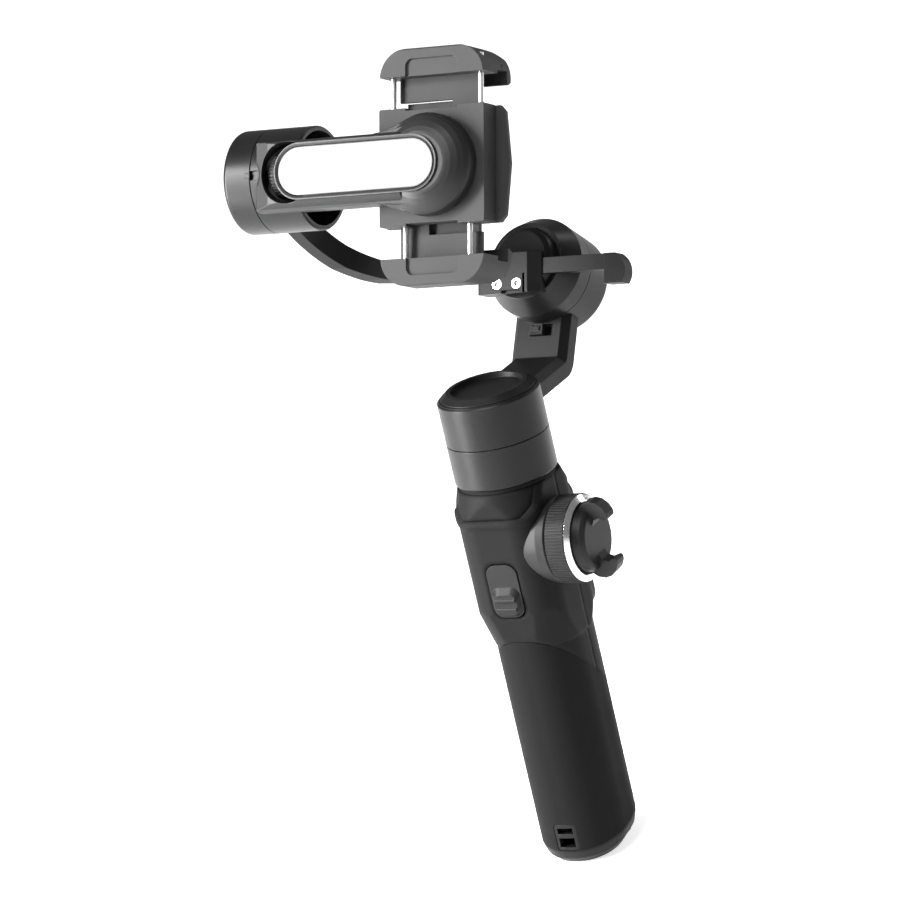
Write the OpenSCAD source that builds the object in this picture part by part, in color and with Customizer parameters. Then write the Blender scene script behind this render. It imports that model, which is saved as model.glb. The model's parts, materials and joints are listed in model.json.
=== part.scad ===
// Three-axis handheld camera gimbal for a phone, in millimetres.
// Origin: mouth of the tripod thread in the base. +Z runs up the pan axis, -Y is the side
// that the phone's rear cameras look to, +X carries the focus wheel.

/* [Handle] */
// Width of the grip, side to side
grip_w = 38.4; // [36:0.2:40]
// Depth of the grip, front to back
grip_d = 42; // [40:0.5:44]
// How far the grip's centre lies behind the pan axis
grip_back = 1.7; // [0:0.1:2.5]
// Height of the grip's top, where the body starts to widen
grip_top = 96.8; // [92:0.2:100]
// Width of the body under the pan motor
body_w = 40; // [39:0.5:42]
// Depth of the body under the pan motor
body_d = 44; // [43:0.5:46]
// Height of the body's top face
body_top = 165.2; // [162:0.2:168]
// Thickness of the moulded shells
wall = 2; // [1.6:0.2:2.6]
// Thickness of the rubber sleeve on the grip
sleeve = 1.4; // [1:0.1:1.8]

/* [Motors] */
// Outer radius of all three motors
motor_r = 21.5; // [21:0.1:22]
// Length of the fixed half of the pan motor
pan_base_len = 17.1; // [15:0.1:19]
// Length of the turning half of the pan motor
pan_rotor_len = 17.9; // [16:0.1:20]
// Length of the fixed half of the roll motor
roll_base_len = 17.2; // [13:0.1:18]
// Length of the turning half of the roll motor
roll_rotor_len = 16.6; // [15:0.1:19]
// Length of the fixed half of the tilt motor
tilt_base_len = 13.2; // [12:0.1:15]
// Length of the turning half of the tilt motor
tilt_rotor_len = 21; // [18:0.1:22]
// Radius of the motor shafts
shaft_r = 4; // [3:0.1:4.5]

/* [Arms] */
// Lean of the camera head at rest, degrees from the handle
lean = 25.4; // [20:0.1:30]
// Tilt axis: distance behind the pan axis
tilt_y = 7.5; // [4:0.5:10]
// Tilt axis: height over the base
tilt_z = 296.8; // [294:0.2:300]
// Roll motor's rear face: distance behind the pan axis
roll_y = 80.4; // [78:0.2:82]
// Roll motor's rear face: height over the base
roll_z = 219; // [216:0.2:221]
// Elevation of the roll axis, degrees
roll_el = 38.4; // [37:0.1:40]
// Half width of the yaw arm
yaw_hw = 13; // [11:0.5:14]
// Thickness of the yaw arm
yaw_t = 9; // [8:0.5:10]
// Height of the balance bar on the roll arm
bar_h = 6.5; // [6:0.5:8]

/* [Fill light] */
// Radius of the light's round ends
light_r = 11.7; // [10:0.1:12.5]
// Distance between the centres of the light's two ends
light_len = 52.5; // [45:0.5:54]
// Radius of the round hub
hub_r = 20.9; // [20:0.1:21.3]
// Radius of the dimmer dial
dial_r = 9.7; // [9:0.1:10.5]

/* [Clamp] */
// Opening between the jaws at rest
grip_open = 77.6; // [70:0.2:84]
// Half width of the clamp block
block_hw = 24.3; // [23:0.1:26]
// Half height of the clamp block
block_hh = 24; // [22:0.5:25]
// Half spacing of the upper pair of rods
rods_up = 20.3; // [19:0.1:21]
// Half spacing of the lower pair of rods
rods_low = 15; // [14:0.1:16]
// Radius of the rods
rod_r = 1.1; // [0.9:0.1:1.3]
// Thickness of the phone that the jaws take
phone_t = 8.2; // [7:0.1:10]

/* [Controls] */
// Radius of the focus wheel
wheel_r = 18.4; // [17:0.1:19]
// Height of the focus wheel's axis
wheel_z = 138.8; // [136:0.2:141]
// Distance of the focus wheel's axis in front of the pan axis
wheel_front = 4; // [2:0.5:5]
// Width of the trigger
trigger_w = 14; // [12:0.5:15]
// Height of the trigger
trigger_h = 23; // [20:0.5:25]
// Height of the trigger's middle
trigger_z = 123.8; // [122:0.2:126]

/* [Fits] */
// Radial clearance of a shaft in its bearing
run_fit = 0.05; // [0.03:0.01:0.08]
// Gap between moving covers
gap = 0.4; // [0.3:0.05:0.5]

/* [Hidden] */
$fn = 96;
HULL_FN = 48;
END = 0.01;

// body and grip
body_low = 115.8;
body_high = 154.8;
body_r = 12.5;
grip_r = 18;
seam_slope_z = 80.8;       // height of the sleeve's slanted top edge on the pan axis
base_seam = 9.5;            // height of the base cap's seam on the pan axis
split_y = 3;                // seam between the front and rear shells
panel_low = 154.8;            // lower edge of the front cover under the pan motor
pin_z = trigger_z + 9.5;
pin_y = -18.6;
power_z = 128;
port_z = 112;
stick_z = 137;
stick_y = 18.6;
record_x = 9;
record_z = 106;
button_y = 19.6;
panel_z0 = 97;
panel_z1 = 156;
panel_y = 25.6;
panel_w = 28;
lanyard_z = 11.8;
battery_z = 16;
thread_r = 3.175;
thread_len = 9;
// pan motor stack
ring_h = 1.8;
pan_z0 = body_top + ring_h + 0.4;
pan_z1 = pan_z0 + pan_base_len;
pan_z2 = pan_z1 + gap;
pan_z3 = pan_z2 + pan_rotor_len;
cap_h = 3;
// generic motor
m_wall = 2;
m_floor = 2.4;
boss_r = 8.4;
bearing_r = 7;
stator_r = 12.8;
magnet_in = 13.3;
magnet_out = 15.2;
skirt_out = 16.8;
skirt_pan = 9;
skirt_roll = 8;
skirt_tilt = 7;
// yaw arm: bend at its corner, and the lock's slider
bend_in = 1;
bend_z = 201.8;
yaw_front = roll_base_len - 0.1;
bend_y = roll_y - (yaw_front + bend_in + (roll_z - bend_z) * sin(roll_el)) / cos(roll_el);
bend_l = ((roll_z - bend_z) + (roll_y - bend_y) * cos(roll_el) / sin(roll_el)) * sin(roll_el);
lock_y = -26.9;
lock_x = -3.8;
lock_travel = 3.4;
// roll motor, along its own axis from the rear face
roll_seam = roll_base_len + gap;
roll_front = roll_seam + roll_rotor_len;
roll_taper = 9;
roll_drop = 5;
screw_xs = [-9.2, 0];
screw_z = -41.3;
clamp_y0 = 57.6;
clamp_z0 = -45.2;
clamp_z1 = -28.4;
bar_y0 = 60.6;
bar_d = 6;
bar_z0 = -37.5;
arm_cx = -43;
arm_cy = 20.3;
// tilt motor, along X in the head's frame
tilt_x0 = -93.5;
tilt_x1 = tilt_x0 + tilt_base_len;
tilt_x2 = tilt_x1 + gap;
tilt_x3 = tilt_x2 + tilt_rotor_len;
// head depths, front is negative
arm_front = -23.6;
arm_back = -12.5;
arm_z0 = -15.5;
arm_z1 = 13.2;
bezel_front = arm_front - 0.8;
bezel_back = arm_front + 0.15;
board_back = arm_front + 1.8;
board_r = 9.6;
board_x0 = -45;
block_front = -12;
block_back = -2.2;
light_x1 = -2.6;
light_x0 = light_x1 - light_len;
dial_x = -64.4;
dial_axle_r = 1.1;
pocket_x = -61.5;
dial_y = -13.4;
pocket_r = 12.7;
pivot_r = 5;
pivot_y = -17.5;
plate_hw = 30.7;
jaw_hw = 24;
tongue_hw = 18.8;
rack_x = 5.6;
rack_pitch = 2.04;
jaw_in = grip_open / 2;
jaw_face = jaw_in - 1.8;
jaw_top = jaw_in + 9.5;
rod_y = -7;
tongue_y0 = -4.3;
tongue_y1 = -2.4;
// wheel, along X
wheel_x0 = 22.9;
wheel_x1 = 31.2;
lever_x0 = 31.6;
lever_t = 6.4;
// half of the horns' outline: distance out along X, and height from the wheel's axis
horn_half = [
    [1.6, 14], [4.4, 16], [7.6, 16.6], [10.4, 15.8], [12.8, 13.6], [14, 11.2], [14.2, 9.4],
    [13.5, 8.4], [12.5, 8.5], [10, 9.4], [7.6, 8.6], [6.3, 6]
];

shell_c = "#2b2b2d";
dark_c = "#1c1c1e";
metal_c = "#3a3a3d";
light_c = "#4a4a4c";

// ---------- helpers ----------
module rrect(w, d, r) {
    square([w - 2 * r, d], center = true);
    square([w, d - 2 * r], center = true);
    for (sx = [-1, 1], sy = [-1, 1])
        translate([sx * (w / 2 - r), sy * (d / 2 - r)]) circle(r);
}
module ring(r1, r0, h) {
    difference() {
        cylinder(r = r1, h = h);
        translate([0, 0, -1]) cylinder(r = r0, h = h + 2);
    }
}
module along_x(x = 0) { translate([x, 0, 0]) rotate([0, 90, 0]) children(); }
module along_y(y = 0) { translate([0, y, 0]) rotate([-90, 0, 0]) children(); }
module head_frame() { translate([0, tilt_y, tilt_z]) rotate([-lean, 0, 0]) children(); }
module roll_frame() { translate([0, roll_y, roll_z]) rotate([90 - roll_el, 0, 0]) children(); }
module wheel_frame() { translate([0, -wheel_front, wheel_z]) children(); }
// outline in the head's X-Z plane, raised from depth y0 to y1
module plate_xz(y0, y1) {
    translate([0, y1, 0]) rotate([90, 0, 0]) linear_extrude(y1 - y0) children();
}
module capsule(r, x0, x1) {
    translate([x0, 0]) circle(r);
    translate([x1, 0]) circle(r);
    translate([x0, -r]) square([x1 - x0, 2 * r]);
}

// ---------- body outline ----------
// Grip section, true arcs, straight up from height z
module grip_tube(z, t, inset = 0) {
    translate([0, grip_back, z]) linear_extrude(t)
        rrect(grip_w - 2 * inset, grip_d - 2 * inset, grip_r - inset);
}
// body above the grip: a rounded block with a coned shoulder at each end and a sloped chin
module neck(inset = 0) {
    intersection() {
        translate([0, 0, grip_top]) linear_extrude(body_top - inset - grip_top)
            rrect(body_w - 2 * inset, body_d - 2 * inset, body_r - inset);
        translate([0, 0.8, 0]) rotate_extrude() polygon([
            [0, 90], [20.6 - inset, 90], [20.6 - inset, grip_top], [25.6 - inset, body_low],
            [25.6 - inset, body_high - 2], [motor_r - 0.2 - inset, body_top + 0.7],
            [motor_r - 0.2 - inset, 180], [0, 180]
        ]);
        translate([-60, 0, 0]) rotate([90, 0, 90]) linear_extrude(120) polygon([
            [inset - 19.4, grip_top - 9], [inset - 19.4, grip_top + 3.2],
            [inset - body_d / 2 - 0.1, body_low - 1], [inset - body_d / 2 - 0.1, 180],
            [40, 180], [40, grip_top - 9]
        ]);
    }
}
module body_outer(inset = 0) {
    grip_tube(40, grip_top + 6 - 40, inset);
    neck(inset);
}
module body_hollow() {
    difference() {
        body_outer();
        body_outer(wall);
        translate([0, grip_back, 30]) cube([grip_w - 12, grip_d - 12, 20.02], center = true);
    }
}
// a wedge across the whole width: everything over a line through (y0, z0) and (y1, z1)
module over_line(y0, z0, y1, z1, tall = 260) {
    translate([-60, 0, 0]) rotate([90, 0, 90]) linear_extrude(120)
        polygon([[y0, z0], [y1, z1], [y1, z1 + tall], [y0, z0 + tall]]);
}
module above_seam(up = 0) { over_line(-40, seam_slope_z + 40 + up, 40, seam_slope_z - 40 + up); }
module above_base(up = 0) { over_line(-40, base_seam - 8 + up, 40, base_seam + 8 + up); }
module below_base(up = 0) {
    over_line(-40, base_seam - 8 + up - 60, 40, base_seam + 8 + up - 60, 60);
}
// front cover's outline: it wraps round both sides of the neck
module neck_zone(grow = 0) {
    translate([-60, 0, 0]) rotate([90, 0, 90]) linear_extrude(120)
        polygon([
            [-40, panel_low - grow], [-20.5 + grow, panel_low - grow],
            [-15.5 + grow, panel_low + 4 - grow], [-8.5 + grow, body_top + 4], [-40, body_top + 4]
        ]);
}
// strip along that outline's lower edge, between two distances under it
module bead_band(near, far) {
    translate([-60, 0, 0]) rotate([90, 0, 90]) linear_extrude(120)
        polygon([
            [-40, panel_low - far], [-19.6, panel_low - far], [-14.6, panel_low + 4 - far],
            [-14.6, panel_low + 4.4 - near], [-20.2, panel_low - near], [-40, panel_low - near]
        ]);
}
module wheel_hole(r) { wheel_frame() along_x(5) cylinder(r = r, h = 30); }
module trigger_hole() {
    translate([0, -14, trigger_z]) rotate([90, 0, 0]) linear_extrude(20)
        translate([0, -0.2]) rrect(trigger_w + 2 * gap, trigger_h + 3 * gap, 4.6);
}

// ---------- handle ----------
module front_shell() {
    color(shell_c) {
        difference() {
            intersection() {
                body_hollow();
                above_seam();
                translate([-40, -60, 0]) cube([80, 60 + split_y - 0.1, 200]);
            }
            neck_zone(0.2);
            wheel_hole(4);
            trigger_hole();
            side_ports();
        }
        // raised bead that follows the lower edge of the neck panel
        for (step = [[0.4, 0.3, 4], [0.8, 1, 3.2]])
            difference() {
                intersection() {
                    neck(-step[0]);
                    bead_band(step[1], step[2]);
                }
                neck(0.5 - step[0]);
            }
        // ears that hold the ends of the trigger's pin
        for (sx = [-1, 1])
            difference() {
                translate([sx * 9.1 - 1.1, -20.6, pin_z - 2.4]) cube([2.2, 4.2, 4.8]);
                translate([sx * 9.1 - 2, pin_y, pin_z]) rotate([0, 90, 0]) cylinder(r = 1, h = 4);
            }
    }
}
module side_ports() {
    translate([-30, 0, power_z]) rotate([0, 90, 0]) cylinder(r = 3.9, h = 14);
    translate([-30, -2, port_z]) rotate([0, 90, 0]) linear_extrude(14) rrect(3.4, 9.2, 1.6);
}
module rear_shell() {
    color(shell_c) difference() {
        intersection() {
            body_hollow();
            above_seam();
            translate([-40, split_y + 0.1, 0]) cube([80, 60, 200]);
        }
        wheel_hole(4);
        panel_holes();
        side_ports();
    }
}
module neck_panel() {
    color(shell_c) difference() {
        intersection() {
            neck();
            neck_zone();
        }
        neck(wall);
    }
}
module panel_holes() {
    translate([0, 10, stick_z]) rotate([-90, 0, 0]) cylinder(r = 6, h = 20);
    for (p = [[record_x, record_z, 3.9], [-record_x, record_z, 3.4]])
        translate([p[0], 10, p[1]]) rotate([-90, 0, 0]) cylinder(r = p[2], h = 20);
}
module control_panel() {
    color(dark_c) difference() {
        translate([0, 15, (panel_z0 + panel_z1) / 2]) rotate([-90, 0, 0])
            linear_extrude(panel_y - 15) rrect(panel_w, panel_z1 - panel_z0, 8);
        body_outer();
        panel_holes();
    }
}
module joystick_ring() {
    color(metal_c) translate([0, stick_y, stick_z]) along_y(-1.2) ring(5.7, 4.4, 2.4);
}
module joystick() {
    color(dark_c) translate([0, stick_y, stick_z]) along_y(0) rotate_extrude()
        polygon([
            [0, -1.8], [2.8, -1.8], [2.8, 1.8], [1.9, 3.2], [1.9, 8], [4.6, 8.9], [6.2, 8.9],
            [6.3, 9.5], [5.8, 10.4], [4.6, 10.9], [3, 10.3], [0, 9.9]
        ]);
}
module record_button() {
    color("#b3232c") translate([record_x, button_y, record_z]) along_y() rotate_extrude()
        polygon([[0, 0], [3.6, 0], [3.6, 7.4], [3, 8], [0, 8.3]]);
}
module mode_button() {
    color(dark_c) translate([-record_x, button_y, record_z]) along_y() rotate_extrude()
        polygon([[0, 0], [3.1, 0], [3.1, 6.8], [2.7, 7.2], [0, 7.3]]);
}
module power_button() {
    color(dark_c) translate([-15.5, 0, power_z]) rotate([0, -90, 0]) rotate_extrude()
        polygon([[0, 0], [3.5, 0], [3.5, 5.1], [3, 5.6], [0, 5.8]]);
}
module usb_port() {
    color("#8d9094") translate([-19.2, -2, port_z]) rotate([0, 90, 0]) difference() {
        linear_extrude(7) rrect(3.2, 9, 1.5);
        translate([0, 0, -1]) linear_extrude(6.5) rrect(2.5, 8.3, 1.2);
    }
}
module main_board() {
    color("#1f4a33") translate([-14, 8, 103]) cube([28, 1.6, 52]);
}
module battery_cell() {
    color("#3f6d8c") translate([0, grip_back, battery_z]) rotate_extrude()
        polygon([[0, 0], [8.6, 0], [9.1, 0.6], [9.1, 64.4], [8.6, 65], [3, 65], [3, 66], [0, 66]]);
}
module neck_ring() {
    color("#0c0c0d") translate([0, 0, body_top + 0.1]) ring(motor_r - 1.1, 11, ring_h);
}
module grip_core() {
    color(metal_c) difference() {
        grip_tube(13, grip_top + 10 - 13, sleeve);
        grip_tube(12, grip_top + 12, sleeve + 2);
        above_seam(-0.05);
        below_base(0.1);
        lanyard_cut(0.2);
    }
}
module lanyard_cut(grow = 0) {
    translate([0, -12, lanyard_z]) rotate([90, 0, 0]) linear_extrude(20)
        rrect(10 + 2 * grow, 11.6 + 2 * grow, 1.6 + grow);
}
module grip_sleeve() {
    color("#19191a") difference() {
        grip_tube(1, grip_top + 10);
        grip_tube(0, grip_top + 12, sleeve);
        above_seam(-0.15);
        below_base(0.15);
        lanyard_cut(0.15);
    }
}
module lanyard_bar() {
    color(dark_c) difference() {
        intersection() {
            lanyard_cut();
            grip_tube(6, 30, 0.2);
            translate([-20, -40, 0]) cube([40, 40 - 15.6, 60]);
        }
        // recess with a crossbar: a cord is threaded round it
        translate([-3.6, -30, lanyard_z - 4.4]) cube([7.2, 30, 4.2]);
        translate([-3.6, -30, lanyard_z + 1.6]) cube([7.2, 30, 2.6]);
    }
}
module base_cap() {
    color(dark_c) difference() {
        union() {
            difference() {
                hull() {
                    $fn = HULL_FN;
                    translate([0, -2.5, 0]) linear_extrude(END) rrect(25, 25, 10);
                    for (step = [[-7, 3.6], [-4.2, 1.1], [-1, 0.1]])
                        translate([0, 0, base_seam + step[0]]) rotate([11, 0, 0])
                            grip_tube(0, END, step[1]);
                    grip_tube(base_seam + 10, END, 0.1);
                }
                above_base();
            }
            grip_tube(3.5, 13, sleeve + 2.1);
        }
        difference() {
            grip_tube(3, 20, 6);
            cylinder(r = 8, h = 12);
        }
        translate([0, 0, -1]) cylinder(r = 6, h = 3);
        translate([0, 0, -1]) cylinder(r = 5, h = thread_len + 3);
        lanyard_cut(0.4);
    }
}
module thread_insert() {
    color("#b08d45") difference() {
        union() {
            cylinder(r = 6, h = 2);
            cylinder(r = 5, h = thread_len + 2);
        }
        translate([0, 0, -1]) cylinder(r = thread_r, h = thread_len + 1);
    }
}

// ---------- trigger and wheel ----------
module trigger() {
    color(dark_c) difference() {
        union() {
            translate([0, -16.8, trigger_z]) rotate([90, 0, 0]) linear_extrude(5.6)
                rrect(trigger_w, trigger_h, 4.4);
            hull() {
                $fn = 32;
                translate([0, -22.3, trigger_z - 4.6]) rotate([90, 0, 0]) linear_extrude(END)
                    rrect(trigger_w - 0.8, trigger_h - 10, 4);
                translate([0, -24.4, trigger_z - 5.4]) rotate([90, 0, 0]) linear_extrude(END)
                    rrect(trigger_w - 3.4, trigger_h - 14, 3);
            }
            for (dz = [-7.4, -3.4])
                translate([-4.8, -24, trigger_z + dz]) rotate([0, 90, 0]) cylinder(r = 1.1, h = 9.6);
            translate([-4, -17, pin_z - 2.2]) cube([8, 1, 4.4]);
        }
        translate([-10, pin_y, pin_z]) rotate([0, 90, 0]) cylinder(r = 1 + run_fit, h = 20);
    }
}
module trigger_pin() {
    color("#b9bcc0") translate([-10.2, pin_y, pin_z]) rotate([0, 90, 0]) cylinder(r = 1, h = 20.4);
}
module wheel_hood() {
    color(light_c) difference() {
        wheel_frame() along_x(6) rotate_extrude()
            polygon([
                [0, 0], [16.6, 0], [17.9, 12], [17.9, 15.6], [17, wheel_x0 - 6.4], [0, wheel_x0 - 6.4]
            ]);
        body_outer();
        wheel_frame() along_x(5) cylinder(r = 3.02, h = 30);
    }
}
module wheel_axle() {
    color("#b9bcc0") wheel_frame() along_x(14) cylinder(r = 3, h = 21);
}
module focus_wheel() {
    ribs = 84;
    color(dark_c) wheel_frame() along_x(wheel_x0) difference() {
        linear_extrude(wheel_x1 - wheel_x0) difference() {
            circle(wheel_r);
            for (i = [0 : ribs - 1])
                rotate(i * 360 / ribs) translate([wheel_r - 0.35, -0.3]) square([1, 0.6]);
        }
        translate([0, 0, -1]) cylinder(r = 3 + run_fit, h = 20);
        translate([0, 0, wheel_x1 - wheel_x0 - 0.01]) cylinder(r = 14.9, h = 2);
    }
}
module wheel_ring() {
    color("#e6e7e9") wheel_frame() along_x(wheel_x1) rotate_extrude()
        polygon([[15, 0], [17.9, 0], [17.9, 0.3], [15.5, 1.7], [15, 1.7]]);
}
module zoom_lever() {
    color(dark_c) wheel_frame() difference() {
        union() {
            intersection() {
                along_x(lever_x0) rotate_extrude() polygon([
                    [0, 0], [14.2, 0], [14.2, 1.6], [13.5, 4.6], [12.6, 5.8], [11.6, 6.3], [0, 6.3]
                ]);
                translate([lever_x0, -20, -20]) cube([20, 31.5, 40]);
            }
            // two horns that a fingertip pushes up or down
            translate([0, lever_t / 2, 0]) rotate([90, 0, 0]) linear_extrude(lever_t) polygon([
                for (p = horn_half) [lever_x0 + p[0], -p[1]],
                for (i = [len(horn_half) - 1 : -1 : 0]) [lever_x0 + horn_half[i][0], horn_half[i][1]]
            ]);
        }
        along_x(lever_x0 - 1) cylinder(r = 3 + run_fit, h = 5);
    }
}

// ---------- motors ----------
// fixed half: a cup, open to +z, whose boss carries the stator and the bearing
module motor_base(len, soft = 0.6, bore = bearing_r) {
    difference() {
        rotate_extrude() {
            square([motor_r - soft, len]);
            translate([0, soft]) square([motor_r, len - soft]);
            translate([motor_r - soft, soft]) circle(soft, $fn = 64);
        }
        translate([0, 0, m_floor + soft]) ring(motor_r - m_wall, boss_r, len);
        translate([0, 0, m_floor]) ring(motor_r - m_wall - soft, boss_r, len);
        translate([0, 0, m_floor]) cylinder(r = bore, h = len);
        translate([0, 0, 0.8]) cylinder(r = min(bore, shaft_r + 0.6), h = len);
    }
}
module motor_stator(len) {
    teeth = 12;
    translate([0, 0, m_floor + 2]) linear_extrude(len - m_floor - 4) difference() {
        circle(stator_r);
        circle(boss_r);
        for (i = [0 : teeth - 1])
            rotate(i * 360 / teeth) translate([boss_r + 1.4, -0.8]) square([stator_r, 1.6]);
    }
}
module motor_bearing(len) {
    translate([0, 0, m_floor]) ring(bearing_r, shaft_r + run_fit, len - m_floor - 1);
}
// turning half: a cup with a skirt that reaches into the fixed half. Its far edge may taper
// over a length and a drop; web is the height of the plate that holds the shaft.
module motor_rotor(len, skirt, web, taper = 0.6, drop = 0.6, inner = magnet_out) {
    difference() {
        union() {
            rotate_extrude() polygon([
                [0, 0], [motor_r, 0], [motor_r, len - taper], [motor_r - drop, len], [0, len]
            ]);
            translate([0, 0, -skirt]) cylinder(r = skirt_out, h = skirt + 1);
        }
        translate([0, 0, -skirt - 1]) cylinder(r = inner, h = skirt + 1 + web);
        cylinder(r = shaft_r, h = len + 1);
    }
}
module motor_magnets(skirt) {
    translate([0, 0, -skirt]) ring(magnet_out, magnet_in, skirt + 1);
}
module motor_shaft(from, to) {
    translate([0, 0, from]) ring(shaft_r, 2, to - from);
}
module pan_frame(z = pan_z0) { translate([0, 0, z]) children(); }
module pan_base() { color(metal_c) pan_frame() motor_base(pan_base_len); }
module pan_stator() { color("#b36b3a") pan_frame() motor_stator(pan_base_len); }
module pan_bearing() { color("#c8cacd") pan_frame() motor_bearing(pan_base_len); }
module pan_rotor() {
    color(metal_c) pan_frame(pan_z2) difference() {
        motor_rotor(pan_rotor_len, skirt_pan, 4);
        translate([0, 0, 8]) ring(motor_r - 3, shaft_r + 3, pan_rotor_len);
    }
}
module pan_magnets() { color("#55585c") pan_frame(pan_z2) motor_magnets(skirt_pan); }
module pan_shaft() {
    color("#c8cacd") pan_frame() motor_shaft(1, pan_z3 - pan_z0);
}
module pan_cap() {
    color(dark_c) pan_frame(pan_z3) rotate_extrude() polygon([
        [0, 0], [motor_r - 0.7, 0], [motor_r - 1.2, 0.5], [motor_r - 1.2, 0.2],
        [motor_r - 1.6, 0.2], [motor_r - 1.6, 0.9], [motor_r - 4.4, cap_h], [15.2, cap_h],
        [14.6, 1], [0, 1]
    ]);
}

// ---------- yaw arm ----------
module arm_section() {
    chamfer = 3;
    polygon([
        [bend_in, chamfer - yaw_hw], [bend_in + chamfer, -yaw_hw], [bend_in + yaw_t, -yaw_hw],
        [bend_in + yaw_t, yaw_hw], [bend_in + chamfer, yaw_hw], [bend_in, yaw_hw - chamfer]
    ]);
}
module yaw_arm() {
    turn = 90 - roll_el;
    color(shell_c) difference() {
        translate([0, bend_y, bend_z]) rotate([0, 90, 0]) {
            rotate_extrude(angle = turn) arm_section();
            rotate([90, 0, 0]) linear_extrude(bend_y) arm_section();
            rotate([0, 0, turn]) translate([0, bend_l, 0]) rotate([90, 0, 0])
                linear_extrude(bend_l) arm_section();
        }
        translate([0, 0, 150]) cylinder(r = motor_r, h = 100);
        roll_frame() translate([0, 0, -20]) cylinder(r = motor_r, h = 60);
        // slot in which the lock's slider travels
        roll_frame() translate([lock_x - 0.1, lock_y - 0.2, yaw_front - 1.6])
            cube([6.4 + lock_travel + 0.3, 5, 3]);
    }
}
module roll_lock() {
    color(dark_c) roll_frame() translate([lock_x, lock_y, yaw_front - 1.5]) difference() {
        union() {
            cube([6.4, 4.6, 3.4]);
            translate([1.4, 1.3, 3.3]) cube([3.6, 2, 0.6]);
        }
        for (dy = [0.6, 3.6])
            translate([1.4, dy, 3]) cube([3.6, 0.4, 1]);
    }
}

// ---------- roll motor and roll arm ----------
module roll_base() { color(metal_c) roll_frame() motor_base(roll_base_len, 3); }
module roll_stator() { color("#b36b3a") roll_frame() motor_stator(roll_base_len); }
module roll_bearing() { color("#c8cacd") roll_frame() motor_bearing(roll_base_len); }
module roll_rotor() {
    color(metal_c) roll_frame() translate([0, 0, roll_seam])
        motor_rotor(roll_rotor_len, skirt_roll, 4, roll_taper, roll_drop);
}
module roll_magnets() {
    color("#55585c") roll_frame() translate([0, 0, roll_seam]) motor_magnets(skirt_roll);
}
module roll_shaft() { color("#c8cacd") roll_frame() motor_shaft(1, roll_front); }
module roll_clamp() {
    color(dark_c) difference() {
        union() {
            head_frame() translate([0, 0, clamp_z0]) linear_extrude(clamp_z1 - clamp_z0) polygon([
                [-19, clamp_y0 + 2], [-17, clamp_y0], [5.2, clamp_y0], [10.6, clamp_y0 + 2.4],
                [10.6, bar_y0 + bar_d + 2], [-19, bar_y0 + bar_d + 2]
            ]);
            // neck that leads from the block down to the motor's shaft
            roll_frame() translate([0, 0, roll_front]) rotate_extrude()
                polygon([[0, 0], [14.4, 0], [13.2, 3.4], [11.4, 5], [0, 5]]);
        }
        roll_frame() {
            rotate_extrude() polygon([
                [0, 0], [motor_r + 0.05, 0], [motor_r + 0.05, roll_front - roll_taper],
                [motor_r - roll_drop + 0.05, roll_front], [0, roll_front]
            ]);
            cylinder(r = shaft_r, h = roll_front + 0.02);
        }
        head_frame() {
            for (x = screw_xs)
                translate([x, clamp_y0 - 1, screw_z]) along_y() {
                    cylinder(r = 2.3, h = 2.2);
                    cylinder(r = 1.2, h = 5.2);
                }
            // step under the screws and slit beside them
            translate([-7, clamp_y0 - 1, clamp_z0 - 1]) cube([9, 2.6, 2.2]);
            translate([3, clamp_y0 - 1, clamp_z0 - 1]) cube([0.9, 3, 9]);
            // the bar's channel
            translate([-30, bar_y0 - 0.05, bar_z0 - 0.05]) cube([60, bar_d + 0.1, bar_h + 0.1]);
        }
    }
}
module clamp_screws() {
    color("#d4d6d8") head_frame() for (x = screw_xs)
        translate([x, clamp_y0, screw_z]) along_y() difference() {
            union() {
                cylinder(r = 2.2, h = 1.2);
                cylinder(r = 1.15, h = 4);
            }
            translate([0, 0, -1]) cylinder(r = 1.2, h = 1.9, $fn = 6);
        }
}
// side view of the arm: it climbs from the bar at the back to the tilt motor
module arm_climb() {
    translate([-120, 0, 0]) rotate([90, 0, 90]) linear_extrude(240) polygon([
        [80, bar_z0 + bar_h], [60, bar_z0 + bar_h], [56, -28.6], [46, -22.4], [34, -13.6], [22, -5],
        [0, 6], [0, -8], [12, -13.4], [22, -17.6], [34, -24.6], [46, -31.8], [56, -36.2],
        [60, bar_z0], [80, bar_z0]
    ]);
}
// top view: a straight bar with a quarter turn to the tilt motor
module arm_plan() {
    side = bar_y0 + bar_d - arm_cy;
    translate([0, 0, -60]) linear_extrude(90) {
        translate([arm_cx, bar_y0]) square([41 - arm_cx, bar_d]);
        intersection() {
            difference() {
                translate([arm_cx, arm_cy]) circle(side);
                translate([arm_cx, arm_cy]) circle(side - bar_d);
            }
            translate([arm_cx - 60, arm_cy]) square(60);
        }
        translate([arm_cx - side, 0]) square([bar_d, arm_cy]);
    }
}
module roll_arm() {
    color(shell_c) difference() {
        head_frame() difference() {
            union() {
                intersection() {
                    arm_plan();
                    arm_climb();
                }
                // rounded stop on the bar's free end
                translate([41, bar_y0 + bar_d, 0]) rotate([90, 0, 0]) linear_extrude(bar_d + 1)
                    intersection() {
                        translate([0, bar_z0 + bar_h - 7.6]) circle(8.6);
                        translate([-1, bar_z0 - 6]) square([12, bar_h + 6]);
                    }
            }
            translate([-120, 0, 0]) along_x() cylinder(r = motor_r, h = 120);
        }
        roll_frame() cylinder(r = 22, h = roll_front);
    }
}

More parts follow.
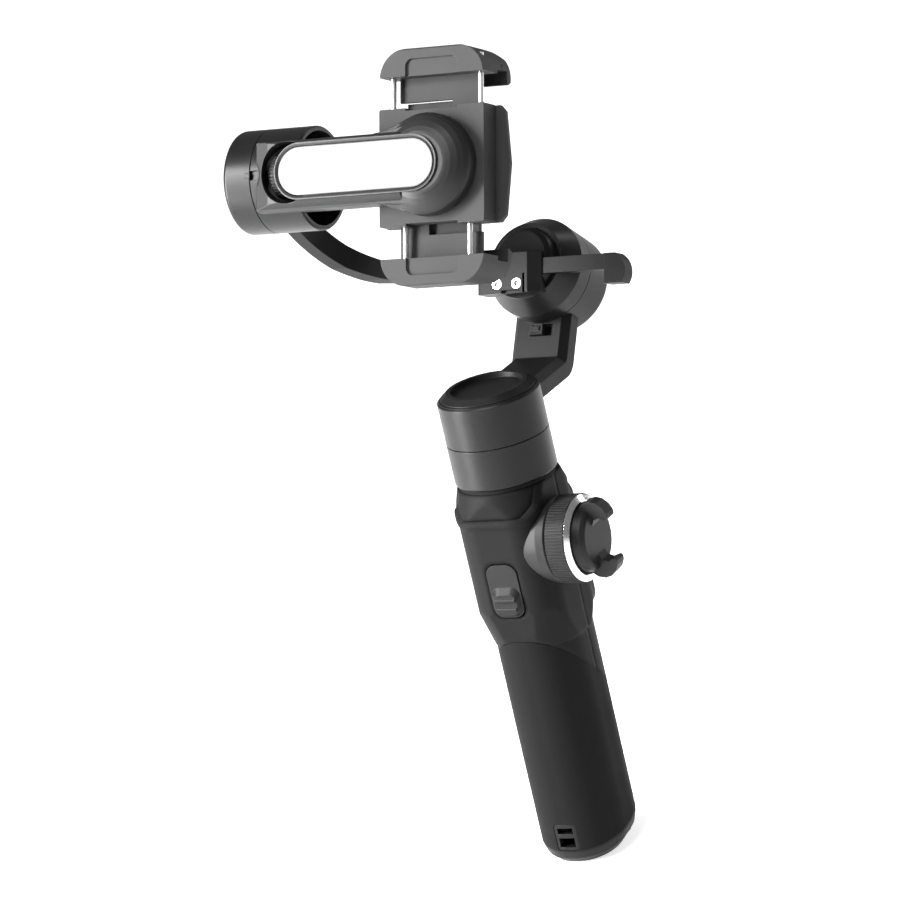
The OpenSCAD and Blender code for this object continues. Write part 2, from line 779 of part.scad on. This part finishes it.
// ---------- tilt motor ----------
module tilt_base() {
    color(metal_c) head_frame() union() {
        along_x(tilt_x0) motor_base(tilt_base_len, 2, shaft_r + run_fit);
        translate([tilt_x1 - 2, 0.4 - motor_r - 0.6, -1]) cube([2.2, 1.4, 2]);
    }
}
module tilt_stator() { color("#b36b3a") head_frame() along_x(tilt_x0) motor_stator(tilt_base_len); }
module tilt_rotor() {
    color(metal_c) head_frame() difference() {
        along_x(tilt_x2) motor_rotor(tilt_rotor_len, skirt_tilt, 1.4, inner = magnet_in);
        along_x(tilt_x2 + 4.4) cylinder(r = motor_r - m_wall, h = tilt_rotor_len);
        translate([tilt_x2 - 0.1, -motor_r - 1, -1.9]) cube([3.8, 2.3, 3.8]);
        dial_pocket();
    }
}
module tilt_shaft() { color("#c8cacd") head_frame() along_x() motor_shaft(tilt_x0 + 1, tilt_x2 + 4.4); }

// ---------- tilt arm with the fill light ----------
module dial_pocket() {
    translate([pocket_x, -26, 0]) along_y() cylinder(r = pocket_r, h = 16);
}
// seen from the front
module arm_front_view() {
    circle(hub_r);
    translate([pocket_x - 16, arm_z0]) square([-pocket_x + 16, arm_z1 - arm_z0]);
}
// seen from above
module arm_top_view() {
    translate([0, 0, -30]) linear_extrude(60) polygon([
        [pocket_x - 15.5, -motor_r + 0.4], [pocket_x - 9, arm_front + 0.5], [pocket_x - 4, arm_front],
        [24, arm_front], [24, arm_back], [pocket_x - 15.5, arm_back]
    ]);
}
module arm_edges() {
    translate([-90, 0, 0]) rotate([90, 0, 90]) linear_extrude(82) polygon([
        [arm_back, arm_z0], [arm_front + 7, arm_z0], [arm_front + 4.4, arm_z0 + 0.3],
        [arm_front + 2.4, arm_z0 + 1], [arm_front + 1, arm_z0 + 2.1], [arm_front, -light_r - 0.3],
        [arm_front, light_r + 0.2], [arm_front + 1, arm_z1 - 0.4], [arm_front + 2.6, arm_z1],
        [arm_back, arm_z1]
    ]);
}
// fairings that lead the arm's edges tangentially into the hub, in layers that follow the dome
module hub_fairing() {
    for (layer = [[-16.6, 20.9], [-18, 20.4], [-19.5, 19.2], [-21.2, 17.2]]) {
        near = layer[1] / hub_r;
        plate_xz(layer[0], arm_back - 0.1) polygon([
            [-26, 0], [-26, arm_z1 - 0.4], [-22.2, arm_z1], [-8.8 * near, 18.8 * near], [0, 0],
            [-6.8 * near, -19.6 * near], [-20.2, arm_z0 + 0.1], [-26, arm_z0 + 0.4]
        ]);
    }
}
module hub_dome() {
    rotate([90, 0, 0]) rotate_extrude() polygon([
        [0, -arm_back - 0.1], [hub_r - 0.4, -arm_back - 0.1], [hub_r, -arm_back + 0.5],
        [hub_r, 16.6], [20.4, 18], [19.2, 19.5], [17.2, 21.2], [14.8, 22.7], [12.8, 23.4],
        [light_r, -arm_front], [0, -arm_front]
    ]);
}
module tilt_arm() {
    color(shell_c) head_frame() difference() {
        union() {
            hub_dome();
            hub_fairing();
            intersection() {
                plate_xz(arm_front, arm_back) arm_front_view();
                arm_top_view();
                arm_edges();
            }
        }
        along_x(-100) cylinder(r = motor_r, h = 100 + tilt_x3);
        plate_xz(arm_front - 1, bezel_back) capsule(light_r + 0.05, light_x0, light_x1);
        plate_xz(arm_front - 1, board_back) capsule(board_r + 0.2, board_x0, light_x1);
        dial_pocket();
        translate([0, pivot_y - 0.1, 0]) along_y() cylinder(r = pivot_r + run_fit, h = 10);
    }
    // axle of the dimmer dial
    color(shell_c) head_frame() translate([0, dial_y, 0]) along_x(tilt_x2 + 4.4)
        cylinder(r = dial_axle_r, h = pocket_x + pocket_r - tilt_x2 - 4.3);
}
module light_bezel() {
    color(metal_c) head_frame() difference() {
        plate_xz(bezel_front, bezel_back) capsule(light_r, light_x0, light_x1);
        hull() {
            $fn = HULL_FN;
            plate_xz(bezel_front - END, bezel_front) capsule(light_r - 0.5, light_x0, light_x1);
            plate_xz(bezel_back, bezel_back + END) capsule(light_r - 1.6, light_x0, light_x1);
        }
    }
}
module light_diffuser() {
    color("white") head_frame() plate_xz(bezel_front + 0.4, bezel_back)
        capsule(light_r - 1.9, light_x0, light_x1);
}
module light_board() {
    color("#e8e6da") head_frame() plate_xz(bezel_back + 0.1, board_back - 0.1)
        capsule(board_r, board_x0, light_x1);
}
// a ribbed thumb wheel that turns about X behind its round opening, coned to fit the opening
module light_dial() {
    ribs = 40;
    color(dark_c) head_frame() translate([dial_x, dial_y, 0]) difference() {
        rotate([0, 90, 0]) rotate_extrude()
            polygon([[0, -7.4], [dial_r - 2.8, -7.4], [dial_r, -4.8], [dial_r, 6.8], [0, 6.8]]);
        for (i = [0 : ribs - 1])
            rotate([i * 360 / ribs, 0, 0]) rotate([90, 0, 0]) linear_extrude(0.6, center = true)
                polygon([
                    [12, dial_r - 0.5], [-4.6, dial_r - 0.5], [-8.2, dial_r - 4.4],
                    [-12, dial_r - 4.4], [-12, 14], [12, 14]
                ]);
        along_x(-12) cylinder(r = dial_axle_r + run_fit, h = 24);
    }
}

// ---------- phone clamp ----------
module clamp_block() {
    color(light_c) head_frame() difference() {
        union() {
            plate_xz(block_front, block_back) rrect(2 * block_hw, 2 * block_hh, 0.8);
            translate([0, pivot_y, 0]) along_y() cylinder(r = pivot_r, h = block_front - pivot_y + 1);
        }
        for (sz = [-1, 1])
            translate([-12, block_front - 1, sz * block_hh - 1]) cube([24, 20, 2]);
        translate([0, rod_y, 0]) {
            for (sx = [-1, 1]) {
                translate([sx * rods_up, 0, 1.5 - block_hh]) cylinder(r = rod_r + run_fit, h = 60);
                translate([sx * rods_low, 0, -60 + block_hh - 1.5]) cylinder(r = rod_r + run_fit, h = 60);
            }
        }
        translate([-tongue_hw - 0.3, tongue_y0 - 0.2, -30]) cube([2 * tongue_hw + 0.6, 10, 60]);
        // pocket of the pinion's spring
        translate([0, tongue_y0 - 3.2, 0]) along_y() ring(5, 2.2, 6);
        translate([0, tongue_y0 - 4, 0]) along_y() cylinder(r = 1.5, h = 10);
    }
}
module back_plate() {
    color(light_c) head_frame() {
        plate_xz(block_back + 0.1, -0.1) polygon([
            [2 - plate_hw, 3 - block_hh], [-plate_hw, 0], [2 - plate_hw, block_hh - 3],
            [4.4 - plate_hw, block_hh - 0.3], [plate_hw - 4.4, block_hh - 0.3],
            [plate_hw - 2, block_hh - 3], [plate_hw, 0], [plate_hw - 2, 3 - block_hh],
            [plate_hw - 4.4, 0.3 - block_hh], [4.4 - plate_hw, 0.3 - block_hh]
        ]);
        // flaps behind the jaws' tongues
        for (sz = [-1, 1])
            translate([-16.5, block_back + 0.1, sz * (block_hh + 1.2) - 1.7]) cube([33, 2, 3.4]);
        // axle of the pinion
        translate([0, tongue_y0 - 3.9, 0]) along_y() cylinder(r = 1.5, h = 6.5);
    }
}
// side view of the upper jaw: it hooks over the edge of a phone
module jaw_side() {
    translate([-40, 0, 0]) rotate([90, 0, 90]) linear_extrude(80) polygon([
        [block_front, jaw_face], [-0.1, jaw_face], [-0.1, jaw_in], [phone_t - 0.1, jaw_in],
        [phone_t - 0.1, jaw_in - 5.4], [phone_t + 0.8, jaw_in - 5.6], [phone_t + 2.8, jaw_in - 4.4],
        [phone_t + 2.8, jaw_top - 4.6], [phone_t - 1.4, jaw_top - 1.4], [2, jaw_top - 0.4],
        [-2, jaw_top], [block_front + 0.6, jaw_top], [block_front, jaw_top - 0.6]
    ]);
}
module jaw(sx, rods) {
    difference() {
        union() {
            intersection() {
                jaw_side();
                plate_xz(block_front - 1, phone_t + 4) union() {
                    translate([0, jaw_top - 24]) rrect(2 * jaw_hw, 48, 12);
                    translate([-jaw_hw, jaw_top - 40]) square([2 * jaw_hw, 28]);
                }
            }
            // tongue behind the rods, and its rack beside the pinion
            translate([-tongue_hw, tongue_y0, block_hh + 3.2])
                cube([2 * tongue_hw, tongue_y1 - tongue_y0, jaw_face - block_hh - 3]);
            translate([sx > 0 ? rack_x : -tongue_hw, tongue_y0, -7.2])
                cube([tongue_hw - rack_x, tongue_y1 - tongue_y0, block_hh + 11]);
            for (i = [0 : 10])
                translate([sx * rack_x, tongue_y1, (i - 3) * rack_pitch]) rotate([90, 0, 0])
                    linear_extrude(tongue_y1 - tongue_y0) polygon([
                        [0, -0.65], [-sx * 0.9, -0.25], [-sx * 0.9, 0.25], [0, 0.65],
                        [sx, 0.65], [sx, -0.65]
                    ]);
        }
        // shallow grip recess in the front face
        translate([0, block_front + 1, jaw_face]) rotate([90, 0, 0]) linear_extrude(3)
            translate([0, -3]) rrect(24, 20, 3);
        for (s = [-1, 1])
            translate([s * rods, rod_y, 0]) cylinder(r = rod_r, h = jaw_in + 6.2);
    }
}
module rods(x, up) {
    for (s = [-1, 1])
        translate([s * x, rod_y, up > 0 ? -12 : -jaw_in - 6.2]) cylinder(r = rod_r, h = jaw_in + 18.2);
}
module upper_jaw() {
    color(light_c) head_frame() difference() {
        jaw(1, rods_up);
        translate([jaw_hw - 1.2, 4, jaw_in + 1]) rotate([35, 0, 0]) cube([6, 2.6, 3.4]);
    }
}
module upper_rods() { color("#d9dbde") head_frame() rods(rods_up, 1); }
module lower_jaw() {
    color(light_c) head_frame() difference() {
        mirror([0, 0, 1]) jaw(-1, rods_low);
        translate([jaw_hw - 1, -6.5, -jaw_in - 3]) along_x() cylinder(r = 0.7, h = 4);
    }
}
module lower_rods() { color("#d9dbde") head_frame() rods(rods_low, -1); }
module sync_pinion() {
    teeth = 16;
    color("#b9bcc0") head_frame() translate([0, tongue_y0, 0]) along_y() difference() {
        linear_extrude(tongue_y1 - tongue_y0) {
            circle(rack_x - 1.05);
            for (i = [0 : teeth - 1])
                rotate((i + 0.5) * 360 / teeth) polygon([
                    [0, -0.55], [rack_x - 1, -0.55], [rack_x - 0.1, -0.2], [rack_x - 0.1, 0.2],
                    [rack_x - 1, 0.55], [0, 0.55]
                ]);
        }
        translate([0, 0, -1]) cylinder(r = 1.5 + run_fit, h = 5);
    }
}
module jaw_spring() {
    color("#8d9094") head_frame() translate([0, tongue_y0 - 3, 0]) along_y() for (i = [0 : 2])
        translate([0, 0, 0.4 + i * 0.8]) rotate_extrude() translate([4, 0]) circle(0.42, $fn = 24);
}
front_shell();
rear_shell();
neck_panel();
grip_core();
grip_sleeve();
base_cap();
thread_insert();
lanyard_bar();
battery_cell();
main_board();
usb_port();
neck_ring();
control_panel();
joystick_ring();
joystick();
record_button();
mode_button();
power_button();
trigger();
trigger_pin();
wheel_hood();
wheel_axle();
focus_wheel();
wheel_ring();
zoom_lever();
pan_base();
pan_stator();
pan_bearing();
pan_rotor();
pan_magnets();
pan_shaft();
pan_cap();
yaw_arm();
roll_lock();
roll_base();
roll_stator();
roll_bearing();
roll_rotor();
roll_magnets();
roll_shaft();
roll_clamp();
clamp_screws();
roll_arm();
tilt_base();
tilt_stator();
tilt_rotor();
tilt_shaft();
tilt_arm();
light_bezel();
light_diffuser();
light_board();
light_dial();
clamp_block();
back_plate();
upper_jaw();
upper_rods();
lower_jaw();
lower_rods();
sync_pinion();
jaw_spring();
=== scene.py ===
# Looks of the camera gimbal: finishes, stage, lights and camera.
# Lengths are in metres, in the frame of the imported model, unless their name ends in mm or MM.
import json
import math

import bpy
from mathutils import Matrix, Vector


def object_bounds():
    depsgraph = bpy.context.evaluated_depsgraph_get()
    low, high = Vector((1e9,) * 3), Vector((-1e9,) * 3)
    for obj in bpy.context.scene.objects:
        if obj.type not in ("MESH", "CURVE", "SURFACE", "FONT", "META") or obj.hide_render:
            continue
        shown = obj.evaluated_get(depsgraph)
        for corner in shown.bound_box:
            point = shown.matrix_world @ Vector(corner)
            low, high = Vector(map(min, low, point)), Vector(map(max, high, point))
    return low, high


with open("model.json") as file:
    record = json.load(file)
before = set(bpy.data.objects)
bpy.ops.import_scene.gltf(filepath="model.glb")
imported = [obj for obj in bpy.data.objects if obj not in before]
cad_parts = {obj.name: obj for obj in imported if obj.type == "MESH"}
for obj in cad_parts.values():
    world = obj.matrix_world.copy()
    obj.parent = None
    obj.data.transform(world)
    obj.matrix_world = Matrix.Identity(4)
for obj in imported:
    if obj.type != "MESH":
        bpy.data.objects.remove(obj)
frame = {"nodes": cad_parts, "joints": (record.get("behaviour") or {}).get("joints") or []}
nodes = frame["nodes"]
cad_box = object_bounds()

MM = 0.001
JOINT = {joint["name"]: joint for joint in frame["joints"]}

# The clamp and the light lean with the head, whose axes come from the joints
head_origin = Vector(JOINT["clamp_turn"]["pos_m"])
head_y = Vector(JOINT["clamp_turn"]["axis"])
head_z = Vector(JOINT["upper_jaw_slide"]["axis"])
lean = math.atan2(-head_y.z, head_y.y)


# ---------- node helpers ----------
class Graph:
    """A material's node tree with short calls to add and join nodes."""

    def __init__(self, name):
        self.material = bpy.data.materials.new(name)
        self.material.use_nodes = True
        self.tree = self.material.node_tree
        self.shader = self.tree.nodes["Principled BSDF"]
        self.place = self.add("ShaderNodeTexCoord").outputs["Object"]

    def add(self, kind, **settings):
        node = self.tree.nodes.new(kind)
        for key, value in settings.items():
            setattr(node, key, value)
        return node

    def join(self, source, target):
        self.tree.links.new(source, target)

    def noise(self, size_mm, detail=2.0, rough=0.5):
        """Noise whose blotches are about size_mm across."""
        node = self.add("ShaderNodeTexNoise")
        node.inputs["Scale"].default_value = 1 / (size_mm * MM)
        node.inputs["Detail"].default_value = detail
        node.inputs["Roughness"].default_value = rough
        self.join(self.place, node.inputs["Vector"])
        return node.outputs["Fac"]

    def ramp(self, source, low, high, out_low, out_high):
        """Maps low..high on the source to out_low..out_high, clamped."""
        node = self.add("ShaderNodeMapRange")
        for index, value in enumerate((low, high, out_low, out_high), start=1):
            node.inputs[index].default_value = value
        self.join(source, node.inputs[0])
        return node.outputs[0]

    def maths(self, operation, first, second=0):
        node = self.add("ShaderNodeMath", operation=operation)
        for index, value in enumerate((first, second)):
            if isinstance(value, (int, float)):
                node.inputs[index].default_value = value
            else:
                self.join(value, node.inputs[index])
        return node.outputs[0]

    def mix(self, factor, dark, light):
        node = self.add("ShaderNodeMix", data_type="RGBA")
        self.join(factor, node.inputs["Factor"])
        for socket, colour in ((node.inputs["A"], dark), (node.inputs["B"], light)):
            if isinstance(colour, tuple):
                socket.default_value = (*colour, 1)
            else:
                self.join(colour, socket)
        return node.outputs["Result"]

    def bump(self, height, depth_mm, normal=None):
        node = self.add("ShaderNodeBump")
        node.inputs["Distance"].default_value = depth_mm * MM
        node.inputs["Strength"].default_value = 1
        self.join(height, node.inputs["Height"])
        if normal is not None:
            self.join(normal, node.inputs["Normal"])
        return node.outputs["Normal"]

    def rounded(self, radius_mm, samples=6):
        """Normal of a surface whose edges are rounded over that radius."""
        soft = self.add("ShaderNodeBevel", samples=samples)
        soft.inputs["Radius"].default_value = radius_mm * MM
        return soft.outputs["Normal"]

    def edges(self, radius_mm):
        """1 along the part's edges and 0 on its faces."""
        soft = self.add("ShaderNodeBevel", samples=4)
        soft.inputs["Radius"].default_value = radius_mm * MM
        true = self.add("ShaderNodeNewGeometry")
        dot = self.add("ShaderNodeVectorMath", operation="DOT_PRODUCT")
        self.join(soft.outputs["Normal"], dot.inputs[0])
        self.join(true.outputs["Normal"], dot.inputs[1])
        flat, sharp = 0.985, 0.8
        return self.ramp(dot.outputs["Value"], flat, sharp, 0.0, 1.0)


def grey(value, tint=0.0):
    """Neutral colour, a little bluer by the tint."""
    return (value, value, value * (1 + tint))


BLOTCH_MM = 22      # size of the faint blotches of a moulding
RUB_MM = 3.5        # size of the patches where its edges are rubbed
EDGE_MM = 0.35      # how far in from an edge the rubbing reaches
MARK_STRETCH = 24.0  # how much longer than wide the marks of machined metal are


def moulding(name, colour, rough, grain_mm=0.35, grain_depth=0.02, spread=0.18, wear=0.35,
             metallic=0.0, sheen=0.0, coat=0.0, round_mm=0.4, gloss=0.17):
    """Moulded or painted finish: fine grain, faint blotches, and edges rubbed a little lighter."""
    g = Graph(name)
    shader = g.shader
    blotch = g.noise(BLOTCH_MM, 3, 0.6)
    grain = g.noise(grain_mm, 2, 0.6)
    dark = tuple(c * (1 - spread) for c in colour)
    light = tuple(c * (1 + spread) for c in colour)
    body = g.mix(g.ramp(blotch, 0.3, 0.7, 0, 1), dark, light)
    speck = g.mix(g.ramp(grain, 0.35, 0.8, 0, 0.5), body, tuple(c * 1.5 for c in colour))
    patches = g.ramp(g.noise(RUB_MM, 3, 0.7), 0.35, 0.65, 0.3, 1)
    rub = g.maths("MULTIPLY", g.edges(EDGE_MM), patches)
    rub = g.maths("MULTIPLY", rub, wear)
    rubbed = tuple(min(1, c * 3 + 0.03) for c in colour)
    g.join(g.mix(rub, speck, rubbed), shader.inputs["Base Color"])
    base_rough = g.ramp(blotch, 0.3, 0.7, rough - 0.05, rough + 0.05)
    base_rough = g.maths("ADD", base_rough, g.ramp(grain, 0.3, 0.7, -0.03, 0.03))
    g.join(g.maths("SUBTRACT", base_rough, g.maths("MULTIPLY", rub, 0.12)), shader.inputs["Roughness"])
    g.join(g.bump(grain, grain_depth, normal=g.rounded(round_mm)), shader.inputs["Normal"])
    shader.inputs["Metallic"].default_value = metallic
    shader.inputs["Specular IOR Level"].default_value = gloss
    shader.inputs["Sheen Weight"].default_value = sheen
    shader.inputs["Coat Weight"].default_value = coat
    shader.inputs["Coat Roughness"].default_value = 0.3
    return g.material


def machined(name, colour, rough, line_mm=0.12, line_axis="X", depth=0.004):
    """Bright metal with fine turning marks, thin along one axis and long across it."""
    g = Graph(name)
    shader = g.shader
    stretch = g.add("ShaderNodeMapping")
    g.join(g.place, stretch.inputs["Vector"])
    scale = [1.0, 1.0, 1.0]
    scale["XYZ".index(line_axis)] = MARK_STRETCH
    stretch.inputs["Scale"].default_value = scale
    lines = g.add("ShaderNodeTexNoise")
    lines.inputs["Scale"].default_value = 1 / (line_mm * MARK_STRETCH * MM)
    lines.inputs["Detail"].default_value = 2
    g.join(stretch.outputs["Vector"], lines.inputs["Vector"])
    smear = g.noise(6, 3, 0.6)
    dull = tuple(c * 0.9 for c in colour)
    g.join(g.mix(g.ramp(smear, 0.3, 0.7, 0, 1), dull, colour), shader.inputs["Base Color"])
    marks = g.ramp(lines.outputs["Fac"], 0.3, 0.7, -0.05, 0.06)
    g.join(g.maths("ADD", g.ramp(smear, 0.3, 0.7, rough, rough + 0.06), marks), shader.inputs["Roughness"])
    g.join(g.bump(lines.outputs["Fac"], depth), shader.inputs["Normal"])
    shader.inputs["Metallic"].default_value = 1.0
    return g.material


def lit_diffuser(name, left, right, bright_mm, rim_mm):
    """Milky cover lit from behind: even glow along its middle that dies away to its rim."""
    g = Graph(name)
    shader = g.shader
    turn = g.add("ShaderNodeMapping", vector_type="POINT")
    turn.inputs["Rotation"].default_value = (lean, 0, 0)
    shift = g.add("ShaderNodeVectorMath", operation="SUBTRACT")
    shift.inputs[1].default_value = head_origin
    g.join(g.place, shift.inputs[0])
    g.join(shift.outputs["Vector"], turn.inputs["Vector"])
    part = g.add("ShaderNodeSeparateXYZ")
    g.join(turn.outputs["Vector"], part.inputs[0])
    held = g.maths("MINIMUM", g.maths("MAXIMUM", part.outputs["X"], left), right)
    along = g.maths("SUBTRACT", part.outputs["X"], held)
    gap = g.maths("SQRT", g.maths("ADD", g.maths("MULTIPLY", along, along),
                                  g.maths("MULTIPLY", part.outputs["Z"], part.outputs["Z"])))
    glow = g.add("ShaderNodeMapRange", interpolation_type="SMOOTHSTEP")
    for index, value in enumerate((bright_mm * MM, rim_mm * MM, 1.0, 0.0), start=1):
        glow.inputs[index].default_value = value
    g.join(gap, glow.inputs[0])
    cloud = g.ramp(g.noise(9, 2, 0.5), 0.3, 0.7, 0.97, 1.0)
    level = g.maths("MULTIPLY", glow.outputs[0], cloud)
    g.join(g.mix(level, (0.07, 0.07, 0.072), (0.9, 0.9, 0.9)), shader.inputs["Base Color"])
    g.join(g.maths("MULTIPLY", g.maths("MULTIPLY", level, level), 1.5), shader.inputs["Emission Strength"])
    shader.inputs["Emission Color"].default_value = (1, 0.995, 0.985, 1)
    g.join(g.ramp(g.noise(0.5, 2, 0.5), 0.3, 0.7, 0.32, 0.4), shader.inputs["Roughness"])
    shader.inputs["Subsurface Weight"].default_value = 0.1
    shader.inputs["Subsurface Radius"].default_value = (0.002, 0.002, 0.002)
    return g.material


# ---------- finishes ----------
# The glow is full out to BRIGHT_MM from the middle line of the cover's rounded bar, and gone
# at RIM_MM
BRIGHT_MM, RIM_MM = 5.6, 10.2
cover = [vertex.co - head_origin for vertex in nodes["light_diffuser"].data.vertices]
light_x0, light_x1 = min(p.x for p in cover), max(p.x for p in cover)
light_r = max(p.dot(head_z) for p in cover)

FINISH = {
    "shell": moulding("shell", grey(0.0075, 0.04), 0.46, 0.3, 0.01),
    "body": moulding("body", grey(0.006, 0.04), 0.58, 0.3, 0.012, round_mm=2.6, gloss=0.1),
    "hood": moulding("hood", grey(0.017, 0.03), 0.4, 0.3, 0.008),
    "rubber": moulding("rubber", grey(0.005, 0.04), 0.68, 0.22, 0.03, 0.1, 0.12, sheen=0.02, gloss=0.08),
    "dark": moulding("dark", grey(0.006, 0.04), 0.42, 0.3, 0.01),
    "control": moulding("control", grey(0.01, 0.03), 0.4, 0.25, 0.01, wear=0.3),
    "gasket": moulding("gasket", grey(0.003), 0.8, 0.3, 0.02, wear=0.05),
    "clamp": moulding("clamp", grey(0.03, 0.01), 0.6, 0.28, 0.015, 0.1, 0.25, gloss=0.2),
    "arm": moulding("arm", grey(0.012, 0.03), 0.42, 0.28, 0.008, 0.1, 0.25, round_mm=0.5, gloss=0.25),
    "paint": moulding("paint", grey(0.006, 0.05), 0.34, 0.18, 0.005, 0.1, 0.3, coat=0.05,
                      gloss=0.22),
    "bezel": moulding("bezel", grey(0.05, 0.02), 0.34, 0.18, 0.004, 0.1, 0.5, metallic=0.4),
    "red": moulding("red", (0.55, 0.02, 0.03), 0.35, 0.3, 0.006, 0.08, 0.1),
    "board": moulding("board", (0.02, 0.1, 0.05), 0.4, 0.4, 0.02),
    "wrap": moulding("wrap", (0.05, 0.16, 0.3), 0.3, 0.6, 0.006),
    "windings": machined("windings", (0.6, 0.28, 0.13), 0.35, 0.2, "Z", 0.03),
    "polished": machined("polished", grey(0.92), 0.14, 0.08, "X", 0.002),
    "steel": machined("steel", grey(0.85), 0.3, 0.1, "Z", 0.002),
    "screw": machined("screw", grey(0.85), 0.32, 0.1, "X", 0.003),
    "magnet": machined("magnet", grey(0.4), 0.3),
    "brass": machined("brass", (0.7, 0.5, 0.22), 0.25),
    "diffuser": lit_diffuser("diffuser", light_x0 + light_r, light_x1 - light_r,
                             BRIGHT_MM, RIM_MM),
}
WEARS = {
    "shell": ["yaw_arm", "roll_arm", "grip_core"],
    "body": ["front_shell", "rear_shell", "neck_panel"],
    "arm": ["tilt_arm"],
    "hood": ["wheel_hood"],
    "rubber": ["grip_sleeve"],
    "dark": ["base_cap", "lanyard_bar", "pan_cap", "roll_clamp", "control_panel", "mode_button"],
    "control": ["trigger", "joystick", "power_button", "focus_wheel", "zoom_lever", "roll_lock",
                "light_dial"],
    "gasket": ["neck_ring"],
    "clamp": ["clamp_block", "upper_jaw", "lower_jaw", "back_plate"],
    "paint": ["pan_base", "pan_rotor", "roll_base", "roll_rotor", "tilt_base", "tilt_rotor",
              "joystick_ring"],
    "bezel": ["light_bezel"],
    "red": ["record_button"],
    "board": ["main_board", "light_board"],
    "wrap": ["battery_cell"],
    "windings": ["pan_stator", "roll_stator", "tilt_stator"],
    "polished": ["wheel_ring"],
    "steel": ["upper_rods", "lower_rods", "trigger_pin", "wheel_axle", "pan_shaft", "roll_shaft",
              "tilt_shaft", "pan_bearing", "roll_bearing", "sync_pinion", "jaw_spring", "usb_port"],
    "screw": ["clamp_screws"],
    "magnet": ["pan_magnets", "roll_magnets"],
    "brass": ["thread_insert"],
    "diffuser": ["light_diffuser"],
}
for finish, wearers in WEARS.items():
    for name in wearers:
        part = nodes[name]
        part.data.materials.clear()
        part.data.materials.append(FINISH[finish])


# ---------- stage, lights and camera ----------
def toward(azimuth, elevation):
    """Unit vector from the object to a place at that azimuth and elevation, in degrees."""
    a, e = math.radians(azimuth), math.radians(elevation)
    return Vector((math.cos(e) * math.sin(a), -math.cos(e) * math.cos(a), math.sin(e)))


low, high = (Vector(corner) for corner in cad_box)
middle = (low + high) / 2
VIEW_AZIMUTH, VIEW_ELEVATION, VIEW_ROLL = 31.16, 17.31, 13.1  # degrees
VIEW_DISTANCE = 2.4955
VIEW_TARGET = Vector((0.0017, -0.0423, 0.1938))
LENS_MM, SENSOR_MM = 247.9, 36
FLOOR_HALF = 9
FLOOR_GAP = 0.0005

floor_mesh = bpy.data.meshes.new("floor")
corners = [(x * FLOOR_HALF, y * FLOOR_HALF, 0) for x, y in ((-1, -1), (1, -1), (1, 1), (-1, 1))]
floor_mesh.from_pydata(corners, [], [(0, 1, 2, 3)])
floor = bpy.data.objects.new("floor", floor_mesh)
floor.location.z = low.z - FLOOR_GAP
bpy.context.scene.collection.objects.link(floor)
floor_paint = Graph("floor")
floor_tone = floor_paint.mix(floor_paint.noise(900), grey(0.86), grey(0.9))
floor_paint.join(floor_tone, floor_paint.shader.inputs["Base Color"])
floor_paint.shader.inputs["Roughness"].default_value = 0.9
floor_paint.shader.inputs["Emission Color"].default_value = (1, 1, 1, 1)
floor_paint.shader.inputs["Emission Strength"].default_value = 0.7
floor_mesh.materials.append(floor_paint.material)


def softbox(name, azimuth, elevation, distance, width, height, watts):
    """Rectangular lamp that faces the middle of the object."""
    lamp = bpy.data.lights.new(name, "AREA")
    lamp.shape = "RECTANGLE"
    lamp.size, lamp.size_y, lamp.energy = width, height, watts
    holder = bpy.data.objects.new(name, lamp)
    away = toward(azimuth, elevation)
    holder.location = middle + away * distance
    holder.rotation_euler = away.to_track_quat("Z", "Y").to_euler()
    bpy.context.scene.collection.objects.link(holder)


softbox("key_left", VIEW_AZIMUTH - 78, 14, 1.1, 0.24, 1.3, 58)
softbox("top", VIEW_AZIMUTH - 24, 62, 1.5, 0.8, 0.8, 15)
softbox("fill_front", VIEW_AZIMUTH + 10, 34, 2.4, 0.7, 0.7, 1.5)
softbox("rim_right", VIEW_AZIMUTH + 124, 20, 1.3, 0.2, 1.3, 3)

world = bpy.data.worlds.new("studio")
world.use_nodes = True
world.node_tree.nodes["Background"].inputs["Color"].default_value = (1, 1, 1, 1)
world.node_tree.nodes["Background"].inputs["Strength"].default_value = 0.2
bpy.context.scene.world = world
bpy.context.scene.view_settings.view_transform = "Standard"

lens = bpy.data.cameras.new("camera")
lens.lens = LENS_MM
lens.sensor_width = SENSOR_MM
lens.clip_end = 60
camera = bpy.data.objects.new("camera", lens)
back = toward(VIEW_AZIMUTH, VIEW_ELEVATION)
level = Vector((math.cos(math.radians(VIEW_AZIMUTH)), math.sin(math.radians(VIEW_AZIMUTH)), 0))
upward = back.cross(level)
roll = math.radians(VIEW_ROLL)
right = level * math.cos(roll) - upward * math.sin(roll)
upward = back.cross(right)
camera.matrix_world = Matrix.Translation(VIEW_TARGET + back * VIEW_DISTANCE) @ Matrix(
    (right, upward, back)).transposed().to_4x4()
bpy.context.scene.collection.objects.link(camera)
bpy.context.scene.camera = camera

bpy.context.view_layer.update()
